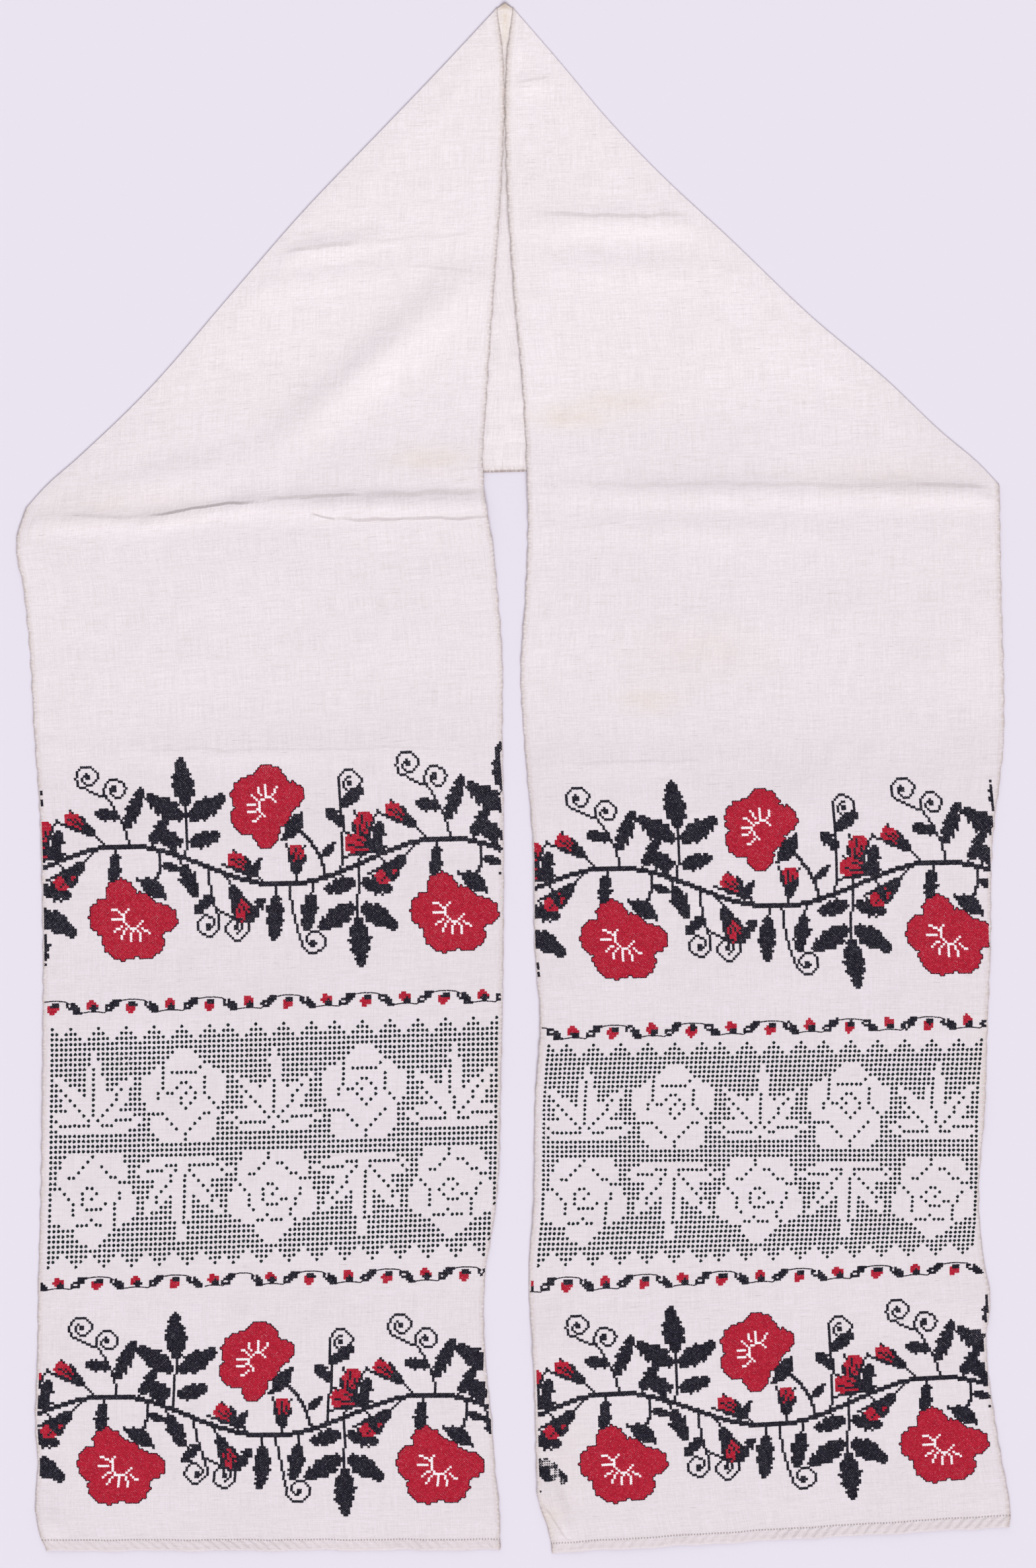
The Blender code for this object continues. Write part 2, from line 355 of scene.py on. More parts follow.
# Waves of the cloth that nothing smooths out: angle of travel, length, height and phase.
Wave = namedtuple("Wave", "angle length height phase")
WAVES = [
    Wave(radians(8), 0.047, 0.00010, 0.4),
    Wave(radians(-4), 0.031, 0.00007, 2.1),
    Wave(radians(83), 0.120, 0.00025, 1.0),
    Wave(radians(95), 0.071, 0.00014, 4.0),
    Wave(radians(40), 0.150, 0.00030, 2.6),
    Wave(radians(-50), 0.105, 0.00020, 5.2),
]


def wave_height(x, y):
    total = 0.0
    for w in WAVES:
        travel = (x * cos(w.angle) + y * sin(w.angle)) * 2 * pi / w.length + w.phase
        total = total + w.height * (1 + np.sin(travel + 0.8 * np.sin(travel * 0.37 + 9 * y)))
    return total


HEM_DEPTH = 0.0090
HEM_RISE = 0.0003  # the doubled hem is thicker


def hem_height(arm, x, y):
    """The doubled hem: a step up at its stitched line, with small slanting puckers."""
    left, right = arm.side_x(y)
    across = np.clip((x - left) / (right - left), 0.0, 1.0)
    if not arm.outer_is_left:
        across = 1.0 - across
    up = y - arm.hem[0] - (arm.hem[1] - arm.hem[0]) * across
    pucker = 0.00012 * np.sin((x - 0.9 * up) * 2 * pi / 0.0093) * np.sin(x * 57.0 + 1.0)
    on_hem = 1 - eased((up - HEM_DEPTH + 0.001) / 0.002)
    groove = 0.00016 * np.exp(-(((up - HEM_DEPTH) / 0.0012) ** 2))
    return (HEM_RISE + pucker) * on_hem - groove


def arm_height(arm, x, y, from_fold):
    """The middle of the cloth in an arm, which lies over the band and then on the surface."""
    on_band = eased((y - band_lower_edge(x)) / ARM_DROPS + 1.0)
    swell = (2 * FOLD_RADIUS - LAYER_STEP) * (1 - eased(from_fold / FOLD_SETTLES))
    loose = eased(2 * from_fold / FOLD_SETTLES)
    uneven = ridge_height(x, y) + wave_height(x, y) + hem_height(arm, x, y)
    return THICKNESS / 2 + LAYER_STEP * on_band + swell + np.maximum(uneven, 0.0) * loose


def roll_rows():
    """How far each row of a fold's roll is past the middle of the fold, along the cloth."""
    half_turn = pi * FOLD_RADIUS
    rows = [half_turn * (k / ROLL_STEPS - 0.5) for k in range(ROLL_STEPS + 1)]
    return [rows[0] - ROLL_MARGIN] + rows + [rows[-1] + ROLL_MARGIN]


def roll_section(past):
    """How far inside the fold's outline a row lies, and its share of the roll's height."""
    if abs(past) >= FOLD_RADIUS * pi / 2:
        return abs(past) - FOLD_RADIUS * (pi / 2 - 1), 1.0 if past < 0 else 0.0
    turn = past / FOLD_RADIUS
    return FOLD_RADIUS * (1 - cos(turn)), (1 - sin(turn)) / 2


def along_thread(past):
    """How far a row of the roll is from the fold's outline, along a thread."""
    return roll_section(past)[0] / cos(FOLD_SLANT)


def arm_row(arm, share):
    """A row between the hem, 0, and the first row of the fold's roll, 1."""

    def points(across):
        x, y = arm.place(across, share, along_thread(roll_rows()[0]) * share)
        from_fold = (arm.fold_y(across) - y) * cos(FOLD_SLANT) - FOLD_RADIUS
        return x, y, arm_height(arm, x, y, from_fold), flat_on_arm(arm, across, y)

    return points


def share_from_fold(arm, across, back):
    """The place on the band's thread this far back from an arm's fold."""
    x0, y0, x1, y1 = between_folds(across)
    share = np.minimum(back / np.hypot(x1 - x0, y1 - y0), 0.45)
    return share if arm is LEFT else 1.0 - share


def roll_row(arm, past):
    """A row of the roll. Before the middle of the fold it is on the arm, then on the band."""
    inside, share_of_height = roll_section(past)

    def on_arm(across):
        x, y = arm.place(across, 1.0, along_thread(past))
        top = arm_height(arm, x, y, max(inside - FOLD_RADIUS, 0.0)) - THICKNESS / 2
        return x, y, THICKNESS / 2 + top * share_of_height, flat_on_arm(arm, across, y)

    def on_band(across):
        share = share_from_fold(arm, across, along_thread(past))
        x, y = band_place(across, share)
        height = THICKNESS / 2 + 2 * FOLD_RADIUS * share_of_height
        return x, y, height + peak_curl(across, share), flat_on_band(across, share)

    return on_arm if past < 0 else on_band


def band_row(part_way):
    """A row of the band, part way from the last row of one roll to that of the other."""

    def points(across):
        back = along_thread(roll_rows()[-1])
        first = share_from_fold(LEFT, across, back)
        last = share_from_fold(RIGHT, across, back)
        share = first + (last - first) * part_way
        x, y = band_place(across, share)
        return x, y, THICKNESS / 2 + peak_curl(across, share), flat_on_band(across, share)

    return points


# ---------------------------------------------------------------- the cloth's mesh

FLAT_LENGTH = 2.53


def flat_on_arm(arm, across, y):
    """How far along the flat cloth this is, from the left hem."""
    from_hem = arm.level(across, y) - sum(arm.hem) / 2
    return from_hem if arm is LEFT else FLAT_LENGTH - from_hem


def flat_on_band(across, share):
    first = flat_on_arm(LEFT, across, LEFT.fold_y(across))
    last = flat_on_arm(RIGHT, across, RIGHT.fold_y(across))
    return first + (last - first) * share


def across_lines():
    """Where the grid's lines run, closer together at the two selvages."""
    selvage = np.array([0.0, 0.0014, 0.0032]) / WIDTH
    inside = 0.0065 / WIDTH
    middle = np.linspace(inside, 1 - inside, round((WIDTH - 0.013) / CELL_ACROSS) + 1)
    return np.concatenate([selvage, middle, 1 - selvage[::-1]])


def arm_shares():
    """Rows of an arm as shares of its length: fine at the hem, wide, then fine again."""
    hem = np.arange(0.0, HEM_SHARE, CELL_HEM / ARM_LENGTH)
    worked = np.arange(HEM_SHARE, WORKED_SHARE, CELL_WORKED / ARM_LENGTH)
    plain = np.arange(WORKED_SHARE, 1.0 - 1e-6, CELL_PLAIN / ARM_LENGTH)
    return np.concatenate([hem, worked, plain])


def cloth_rows():
    """Every row of the cloth, from the left hem over the two folds to the right hem."""
    shares = arm_shares()
    in_band = round(BAND_LENGTH / CELL_BAND)
    return (
        [arm_row(LEFT, share) for share in shares]
        + [roll_row(LEFT, past) for past in roll_rows()]
        + [band_row(k / in_band) for k in range(1, in_band)]
        + [roll_row(RIGHT, past) for past in reversed(roll_rows())]
        + [arm_row(RIGHT, share) for share in shares[::-1]]
    )


def mesh_of(name, points, quads, uvs=None, values=None):
    """A smooth mesh from arrays, with its flat coordinates and its named values at points."""
    mesh = bpy.data.meshes.new(name)
    mesh.vertices.add(len(points))
    mesh.vertices.foreach_set("co", np.asarray(points, np.float32).ravel())
    mesh.loops.add(quads.size)
    mesh.loops.foreach_set("vertex_index", quads.astype(np.int32).ravel())
    mesh.polygons.add(len(quads))
    mesh.polygons.foreach_set("loop_start", np.arange(0, quads.size, 4, dtype=np.int32))
    mesh.polygons.foreach_set("use_smooth", np.ones(len(quads), bool))
    mesh.update(calc_edges=True)
    if uvs is not None:
        layer = mesh.uv_layers.new(name="UVMap")
        layer.data.foreach_set("uv", np.asarray(uvs, np.float32)[quads.ravel()].ravel())
    for label, value in (values or {}).items():
        attribute = mesh.attributes.new(label, "FLOAT", "POINT")
        attribute.data.foreach_set("value", np.asarray(value, np.float32).ravel())
    mesh.validate()
    return mesh


# Tan stains, and painted shade in the peak's curl and along the slit below it: middle, half sizes and
# strength.
StainAndShade = namedtuple("StainAndShade", "x y half_x half_y strength")
STAINS_AND_SHADE = [
    StainAndShade(-0.0070, 0.6390, 0.0080, 0.0026, 1.00),  # the peak's rim and inside it: stain, with painted shade in the curl and along the slit
    StainAndShade(-0.0065, 0.624, 0.0050, 0.018, 0.62),
    StainAndShade(-0.0070, 0.560, 0.0040, 0.060, 0.40),
    StainAndShade(0.030, -0.612, 0.009, 0.013, 0.45),  # the creased corner
    StainAndShade(-0.070, 0.264, 0.030, 0.008, 0.55),
    StainAndShade(0.048, 0.298, 0.030, 0.009, 0.60),
    StainAndShade(0.090, 0.312, 0.030, 0.008, 0.50),
    StainAndShade(0.112, 0.064, 0.022, 0.010, 0.45),
    StainAndShade(0.160, 0.105, 0.050, 0.020, 0.20),
    StainAndShade(-0.320, 0.225, 0.060, 0.012, 0.20),
    StainAndShade(0.390, -0.250, 0.014, 0.050, 0.25),
    StainAndShade(-0.020, -0.245, 0.010, 0.030, 0.20),
    StainAndShade(0.040, -0.560, 0.030, 0.050, 0.15),
    StainAndShade(0.300, 0.250, 0.070, 0.012, 0.18),
]


def stain_and_shade_value(x, y):
    total = 0.0
    for s in STAINS_AND_SHADE:
        reach = ((x - s.x) / s.half_x) ** 2 + ((y - s.y) / s.half_y) ** 2
        total = total + s.strength * np.exp(-reach)
    return np.clip(total, 0.0, 1.0)


SELVAGE_WAVER, HEM_SWAY = 0.00028, 0.00045  # how far the cloth's edges stray from a line


def painted_light_value(v):
    """Painted light: how much paler than its worked ends the cloth is coloured, most of all in the
    middle, as if more light fell there.
    """
    from_hem = np.minimum(v, FLAT_LENGTH - v)
    return 0.5 * eased((from_hem - 0.62) / 0.10) + 0.5 * eased((from_hem - 0.88) / 0.10)


def cloth_piece(material):
    across = across_lines()
    rows = [row(across) for row in cloth_rows()]
    x, y, z, v = (
        np.array([np.broadcast_to(row[k], across.shape) for row in rows]) for k in range(4)
    )
    u = np.broadcast_to(across * WIDTH, x.shape)
    from_side = np.minimum(u, WIDTH - u)
    waver = np.sin(v * 2 * pi / 0.0233 + 2 * np.sin(v * 41))
    waver = waver + np.sin(v * 2 * pi / 0.0147 + 3 * np.sin(v * 29))
    x = x + SELVAGE_WAVER * waver * np.exp(-from_side / 0.003)
    from_hem = np.minimum(v, FLAT_LENGTH - v)
    sway = np.sin(u * 2 * pi / 0.071 + v) + 0.6 * np.sin(u * 2 * pi / 0.033 + 2 * v)
    y = y + HEM_SWAY * sway * np.exp(-np.maximum(from_hem, 0.0) / 0.015)
    points = np.stack([x, y, z], -1).reshape(-1, 3)
    high, wide = x.shape
    corner = (np.arange(high - 1)[:, None] * wide + np.arange(wide - 1)).ravel()
    quads = np.stack([corner, corner + 1, corner + wide + 1, corner + wide], -1)
    # pale holds painted light: the cloth is coloured paler towards its middle.
    values = {"stain_and_shade": stain_and_shade_value(x, y), "pale": painted_light_value(v)}
    mesh = mesh_of("linen_cloth", points, quads, np.stack([u, v], -1).reshape(-1, 2), values)
    mesh.materials.append(material)
    cloth = bpy.data.objects.new("linen_cloth", mesh)
    bpy.context.scene.collection.objects.link(cloth)
    thicken = cloth.modifiers.new("Cloth thickness", "SOLIDIFY")
    thicken.thickness = THICKNESS
    thicken.offset = 0.0
    applied = bpy.data.meshes.new_from_object(
        cloth.evaluated_get(bpy.context.evaluated_depsgraph_get())
    )
    cloth.modifiers.clear()
    cloth.data = applied
    return cloth


# ---------------------------------------------------------------- charts, in stitches


class Chart:
    """A grid of stitches, each empty or holding a thread. Column 0 is the leftmost."""

    def __init__(self, columns, low_row, high_row):
        self.low_row = low_row
        self.cells = np.zeros((high_row - low_row, columns), np.int8)
        self.outlined = np.zeros(self.cells.shape, bool)
        rows, cols = np.indices(self.cells.shape)
        self.x, self.y = cols + 0.5, rows + 0.5 + low_row

    def paint(self, mask, thread):
        self.cells[mask] = thread

    def ellipse(self, x, y, half_long, half_wide, degrees=0.0):
        turn = radians(degrees)
        dx, dy = self.x - x, self.y - y
        along = (dx * cos(turn) + dy * sin(turn)) / half_long
        away = (dy * cos(turn) - dx * sin(turn)) / half_wide
        return along**2 + away**2 < 1.0

    def leaf(self, base, tip, half_wide, teeth=0, thread=BLACK):
        """A pointed leaf, widest a little below its middle, with teeth along both sides."""
        run, rise = tip[0] - base[0], tip[1] - base[1]
        length = np.hypot(run, rise)
        dx, dy = self.x - base[0], self.y - base[1]
        along = (dx * run + dy * rise) / length**2
        away = np.abs(dy * run - dx * rise) / length
        inside = np.clip(along, 0.0, 1.0)
        wide = half_wide * np.sin(pi * inside**0.85) ** 0.85
        if teeth:
            wide = wide + 0.9 - 1.5 * ((inside * teeth) % 1.0) * (wide > 1.7)
        mask = (away < np.maximum(wide, 0.62)) & (along >= 0) & (along <= 1)
        self.paint(mask, thread)

    def path(self, points):
        """Cells along a smooth curve through points, with the corners of its steps left out."""
        points = np.array(points, float)
        steps = np.concatenate([[0], np.cumsum(np.hypot(*np.diff(points, axis=0).T))])
        at = np.arange(0.0, steps[-1] + 0.1, 0.15)
        xs, ys = (smooth_read(at, steps, points[:, k]) for k in (0, 1))
        cells = []
        for cell in zip(np.floor(xs).astype(int), np.floor(ys).astype(int)):
            if cells and cells[-1] == cell:
                continue
            while len(cells) > 1 and max(abs(cells[-2][0] - cell[0]), abs(cells[-2][1] - cell[1])) < 2:
                cells.pop()
            cells.append(cell)
        return cells

    def stem(self, points, thick=False, thread=BLACK):
        for c, r in self.path(points):
            for extra in (0, 1) if thick else (0,):
                row = r - self.low_row + extra
                if 0 <= row < self.cells.shape[0] and 0 <= c < self.cells.shape[1]:
                    self.cells[row, c] = thread

    def tendril(self, x, y, radius, join_degrees, sense):
        """A curl that winds in to a small knot, from where its stem joins it."""
        turned = np.linspace(0.0, 1.32, 30)
        angle = radians(join_degrees) + sense * 2 * pi * turned
        reach = radius + (1.9 - radius) * eased((turned - 0.45) / 0.87)
        self.stem([(x + r * cos(a), y + r * sin(a)) for a, r in zip(angle, reach)])
        self.paint((abs(self.x - round(x)) < 1) & (abs(self.y - round(y)) < 1), BLACK)

    def bud(self, base, tip, wide, hook=1):
        """A half-open bud: furled red petals out of a dark calyx, which runs back to its hip."""
        run, rise = tip[0] - base[0], tip[1] - base[1]
        length = float(np.hypot(run, rise))
        degrees = float(np.degrees(np.arctan2(rise, run)))

        def at(along, away=0.0):
            away *= wide / 2 / length
            return base[0] + run * along - rise * away, base[1] + rise * along + run * away

        def oval(along, away, half_long, half_wide, thread):
            self.paint(
                self.ellipse(*at(along, away), length * half_long, wide * half_wide, degrees), thread
            )

        oval(0.30, 0.0, 0.30, 0.34, BLACK)
        oval(0.70, 0.36, 0.29, 0.27, RED)
        oval(0.72, -0.36, 0.27, 0.27, RED)
        oval(0.76, 0.0, 0.26, 0.24, RED)
        self.stem([at(0.46, 0.10), at(0.64, 0.22), at(0.88, 0.16)])
        self.stem([at(0.52, -0.30), at(0.70, -0.34)])
        self.leaf(at(0.34, 0.55 * hook), at(0.86, 1.02 * hook), 1.0)
        self.leaf(at(0.36, -0.60 * hook), at(0.68, -0.98 * hook), 1.0)
        self.stem([at(0.84, 0.95 * hook), at(0.95, 1.22 * hook), at(1.04, 1.28 * hook)])
        self.stem([at(0.88, -0.75 * hook), at(0.98, -0.95 * hook)])

    def outline(self):
        """Start and end of every edge between an outlined cell and what lies round it, in stitches."""
        padded = np.pad(self.outlined, 1)
        starts, ends = [], []
        for r, c in zip(*np.nonzero(padded[:, 1:] != padded[:, :-1])):
            starts.append((c, r - 1))
            ends.append((c, r))
        for r, c in zip(*np.nonzero(padded[1:, :] != padded[:-1, :])):
            starts.append((c - 1, r))
            ends.append((c, r))
        offset = np.array([0.0, self.low_row])
        return np.array(starts, float) + offset, np.array(ends, float) + offset


# Petals of a rose as shares of its size, round its heart: a petal at 0 degrees points away from
# the stem.
Petal = namedtuple("Petal", "degrees reach half_long half_wide")
ROSE = [
    Petal(4, 0.60, 0.44, 0.50),
    Petal(64, 0.62, 0.42, 0.44),
    Petal(-60, 0.64, 0.44, 0.46),
    Petal(122, 0.60, 0.48, 0.36),
    Petal(-118, 0.58, 0.46, 0.38),
    Petal(178, 0.26, 0.40, 0.40),
]
STAMENS = (-80, -52, -26, 0, 28, 54, 82)  # degrees from the rose's own direction

BRANCH_MIDDLE, BRANCH_WAVE = 46.0, 9.0  # height and half wave of the main stem, in stitches


def beyond(start, degrees, length):
    a = radians(degrees)
    return start[0] + length * cos(a), start[1] + length * sin(a)


class Spray:
    """One repeat of the rose branch: a waving main stem, and shoots that leave it by their angle."""

    def __init__(self, chart, shift, repeat):
        self.chart, self.shift, self.repeat = chart, shift, repeat

    def on_branch(self, share):
        return self.shift + self.repeat * share, BRANCH_MIDDLE + BRANCH_WAVE * sin(2 * pi * share)

    def shoot(self, start, degrees, length, bend=0.0, thick=False):
        """A stem from a place that bends evenly: where it ends, and which way it points there."""
        points = [start]
        for k in range(5):
            points.append(beyond(points[-1], degrees + bend * (k + 0.5) / 5, length / 5))
        self.chart.stem(points, thick)
        return points[-1], degrees + bend

    def leaf(self, start, degrees, length, half_wide, teeth=0):
        self.chart.leaf(start, beyond(start, degrees, length), half_wide, teeth)

    def bud(self, start, degrees, length, wide, hook=1):
        self.chart.bud(start, beyond(start, degrees, length), wide, hook)

    def curl(self, start, degrees, radius, sense):
        join = degrees - 90 * sense
        self.chart.tendril(*beyond(start, join + 180, radius), radius, join, sense)

    def five_leaf(self, start, degrees, stem):
        """A leaf of five toothed leaflets on its own stem."""
        end, _ = self.shoot(start, degrees, stem)
        pairs = ((0.28, 74, 13.5, 3.3), (0.72, 58, 18.5, 4.2))
        for share, spread, length, half_wide in pairs:
            for side in (-1, 1):
                joint = beyond(beyond(start, degrees, stem * share), degrees + side * spread, 1.6)
                self.leaf(joint, degrees + side * spread, length, half_wide, 4)
        self.leaf(end, degrees + 5, 20.5, 4.4, 5)

    def rose(self, start, degrees, size):
        """An open rose whose calyx meets the end of its stem."""
        chart = self.chart
        heart = beyond(start, degrees, size * 0.95)
        mask = chart.ellipse(*heart, size * 0.35, size * 0.35)
        for p in ROSE:
            x, y = beyond(heart, degrees + p.degrees, size * p.reach)
            scallop = 1.0 + 0.035 * np.cos(11 * np.arctan2(chart.y - y, chart.x - x) + p.degrees)
            mask |= chart.ellipse(
                x, y, size * p.half_long * scallop, size * p.half_wide * scallop, degrees + p.degrees
            )
        chart.paint(mask, RED)
        chart.outlined |= mask
        ring = [beyond(heart, degrees + turn, size * 0.24) for turn in range(-110, 111, 20)]
        chart.stem(ring, thread=WHITE)
        for turn in STAMENS:
            ends = [beyond(heart, degrees + turn, size * reach) for reach in (0.32, 0.54)]
            chart.stem(ends, thread=WHITE)
        calyx = chart.ellipse(*beyond(start, degrees, 1.5), 3.4, 5.6, degrees)
        chart.paint(calyx, BLACK)
        chart.outlined &= ~calyx
        for side in (-1, 1):
            self.leaf(beyond(start, degrees, 0.5), degrees + 78 * side, 8.0, 1.7)

    def draw(self):
        branch = self.on_branch
        self.chart.stem([branch(k / 16) for k in range(17)], thick=True)

        # The hanging rose and, half a repeat on, the upright one
        end, way = self.shoot(branch(0.36), -72, 15, -52, thick=True)
        self.leaf(beyond(branch(0.36), -76, 6), -20, 9, 1.8)
        self.rose(end, way, 17.6)
        end, way = self.shoot(branch(0.88), 98, 25, 44, thick=True)
        self.leaf(beyond(branch(0.88), 102, 9), 45, 9, 1.8)
        self.rose(end, way, 16.2)

        # Leaves of five leaflets, one up and one down
        self.five_leaf(branch(0.445), 88, 23)
        self.five_leaf(branch(0.98), -91, 22)

        # Buds
        for share, degrees, stem, bend, length, wide, hook in (
            (0.20, 118, 8, 26, 15, 7.0, 1),
            (0.09, 150, 4, 22, 17, 9.4, 1),
            (0.16, -120, 7, -20, 16, 8.0, -1),
            (0.56, -48, 6, -18, 17, 8.2, -1),
            (0.69, 116, 5, 28, 15, 7.6, 1),
            (0.975, 66, 7, 16, 16, 8.6, -1),
            (0.79, 104, 4, -16, 13, 7.6, 1),
        ):
            end, way = self.shoot(branch(share), degrees, stem, bend)
            self.bud(end, way, length, wide, hook)

        # Tendrils above and below, each with a leaf on its stem
        end, way = self.shoot(branch(0.27), 97, 24, 30)
        self.leaf(beyond(branch(0.27), 97, 8), 66, 19, 2.8, 5)
        self.leaf(beyond(branch(0.27), 108, 14), 170, 10, 2.2, 2)
        self.curl(end, way, 4.8, -1)
        end, way = self.shoot(end, 168, 12, -26)
        self.curl(end, way, 5.0, -1)
        end, way = self.shoot(branch(0.51), -84, 23, 12)
        self.leaf(beyond(branch(0.51), -84, 12), -132, 10, 2.1, 3)
        self.curl(end, way, 4.8, -1)
        end, way = self.shoot(beyond(end, 100, 5), -28, 14, 10)
        self.leaf(end, 52, 12, 2.2, 3)
        self.curl(end, way - 40, 5.0, -1)

        # Toothed leaves under the branch and over its far end
        for share, degrees, stem, length, half_wide, teeth in (
            (0.725, -94, 4, 19, 3.5, 4),
            (0.84, -100, 5, 16, 3.2, 3),
            (0.64, 62, 3, 8, 1.8, 0),
            (0.04, 84, 3, 12, 2.4, 2),
            (0.05, -64, 3, 9, 1.8, 0),
            (0.43, 128, 3, 8, 1.8, 0),
            (0.33, 58, 3, 12, 2.4, 2),
            (0.42, -66, 4, 15, 3.2, 3),
            (0.23, -98, 3, 12, 2.6, 2),
        ):
            end, way = self.shoot(branch(share), degrees, stem)
            self.leaf(end, way, length, half_wide, teeth)
        end, way = self.shoot(branch(0.925), 82, 37, 14)
        self.leaf(beyond(branch(0.925), 87, 28), 36, 12, 2.6, 2)
        self.leaf(beyond(branch(0.925), 84, 20), 138, 10, 2.2, 2)
        self.curl(end, way, 5.0, -1)
        end, way = self.shoot(branch(0.765), -86, 26, 16)
        self.curl(end, way, 5.0, 1)


def flower_chart(repeat):
    """The branch across the whole width, where the selvages cut its first and last repeats."""
    chart = Chart(CHART_COLUMNS, -6, 102)
    for k in (-1, 0, 1):
        Spray(chart, k * repeat, repeat).draw()
    return chart


VINE_HIGH, VINE_LOW = 2.6, -2.4  # the vine's crests and troughs, in stitches
FLAT = 5.2  # half the length of a crest or trough


def vine_chart(first, half_wave, skipped=(), climb=0.0):
    """Leaves and buds of the small vine, and the thin line that joins them.

    It goes from crest to trough in half waves, and the first crest's middle is given. A bud hangs
    from each crest and one stands on each trough, but for those skipped. It may climb a few
    stitches on its way to the right selvage.
    """
    chart = Chart(CHART_COLUMNS, -8, 10)
    nodes = []
    x, high = first - 2 * half_wave, True
    for k in range(-2, 14):
        bare = k in skipped
        nodes.append((x, high, bare))
        x += half_wave * (0.74 if bare or k + 1 in skipped else 1.0)
        high = not high
    lines = []
    for (x, high, bare), (next_x, _, _) in zip(nodes, nodes[1:]):
        level, side = (VINE_HIGH, -1) if high else (VINE_LOW, 1)
        other = VINE_LOW if high else VINE_HIGH
        level += climb * (x / CHART_COLUMNS - 0.5)
        other += climb * (next_x / CHART_COLUMNS - 0.5)
        reach = min(FLAT, (next_x - x) / 3.2)
        if not bare:
            chart.paint(chart.ellipse(x - 0.2, level + 3.0 * side, 2.3, 2.0), RED)
            chart.paint(chart.ellipse(x - 0.6, level + 4.8 * side, 1.1, 1.1), RED)
            chart.paint(chart.ellipse(x + 0.5, level + 1.7 * side, 1.7, 1.3), BLACK)
        start, end = x + reach, next_x - reach
        run, fall = end - start, other - level
        ring = (start + 0.30 * run, level + 0.34 * fall)
        chart.paint(chart.ellipse(*ring, 1.9, 1.6), BLACK)
        chart.paint(chart.ellipse(*ring, 0.75, 0.75), EMPTY)
        chart.leaf(
            (start + 0.42 * run, level + 0.46 * fall), (start + 1.02 * run, level + 1.06 * fall), 1.7
        )
        lines += [
            ((x - reach, level - 0.15), (x - 1.5, level + 0.35)),
            ((x - 1.5, level + 0.35), (x + 2, level + 0.3)),
            ((x + 2, level + 0.3), (start, level - 0.1)),
            ((start, level - 0.1), (start + 0.3 * run, level + 0.25 * fall)),
            ((start + 0.7 * run, level + 0.8 * fall), (end, other + 0.1)),
        ]
    starts, ends = np.array(lines, float).transpose(1, 0, 2)
    cuts = np.linspace(0, 1, 7)[:, None, None]  # a long line is worked in short stitches
    points = starts + (ends - starts) * cuts
    starts, ends = points[:-1].reshape(-1, 2), points[1:].reshape(-1, 2)
    inside = (starts[:, 0] > 0) & (ends[:, 0] < CHART_COLUMNS)
    return chart, starts[inside], ends[inside]


FILET_COLUMNS, FILET_ROWS = 97, 47
UPPER_TIPS = [0, 4, 10, 16, 22, 28, 34, 38, 44, 50, 56, 61, 67, 73, 79, 85, 91, 96]
LOWER_TIPS = [0, 6, 12, 18, 24, 30, 36, 40, 46, 52, 58, 64, 70, 76, 82, 88, 94]


FILET_REPEAT = FILET_COLUMNS / 2.5  # from rose to rose in a row; the two rows are half of it apart


def filet_rose(chart, x, y, size, degrees):
    """A rose left open in the dotted ground: five cupped petals and a coiled heart, in dots."""

    def line(*polar):
        points = [beyond((x, y), angle + degrees, size * reach) for reach, angle in polar]
        chart.stem(points, thread=GREEN)

    angle = np.arctan2(chart.y - y, chart.x - x) - radians(degrees)
    reach = np.hypot(chart.x - x, chart.y - y)
    chart.paint(reach < size * (1 + 0.09 * np.cos(5 * angle)), EMPTY)
    for turn in range(0, 360, 72):
        line((0.94, turn - 34), (0.66, turn - 24), (0.56, turn), (0.66, turn + 22))
    line(*((0.08 + 0.30 * k / 9, 48 * k) for k in range(10)))


def filet_spray(chart, x, y, direction):
    """Open leaves that fan out from one place, each with a dotted midrib."""
    fan = [(direction + 40 * k, 15.0 - 2.2 * abs(k)) for k in (-2, -1, 0, 1, 2)]
    for degrees, length in fan:
        chart.leaf((x, y), beyond((x, y), degrees, length), 2.1, thread=EMPTY)
    for degrees, length in fan:
        rib = [beyond((x, y), degrees + 3, length * share) for share in (0.16, 0.5, 0.78)]
        chart.stem(rib, thread=GREEN)


def teeth(chart, tips):
    """How far the scalloped edge stands out in each column, in rows, up to 3."""
    from_tip = np.min([abs(chart.x - 0.5 - tip) for tip in tips], axis=0)
    return np.clip(3 - from_tip, 0, 3)


def filet_chart():
    chart = Chart(FILET_COLUMNS, 0, FILET_ROWS)
    ground = chart.y > 3 - teeth(chart, LOWER_TIPS)
    ground &= chart.y < FILET_ROWS - 3 + teeth(chart, UPPER_TIPS)
    chart.paint(ground, GREEN)
    places = [((k + 0.5) * FILET_REPEAT / 2, k % 2) for k in range(5)]
    for x, high in places:
        filet_spray(chart, x, 20.0 if high else 27.0, -90 if high else 90)
    for x, high in places:
        filet_rose(chart, x, 32.5 if high else 14.0, 8.9, 90 if high else -90)
    middle = (chart.y > 3) & (chart.y < FILET_ROWS - 3)
    chart.paint(((chart.x < 1) | (chart.x > FILET_COLUMNS - 1)) & middle, GREEN)
    return chart


# ---------------------------------------------------------------- thread on the cloth

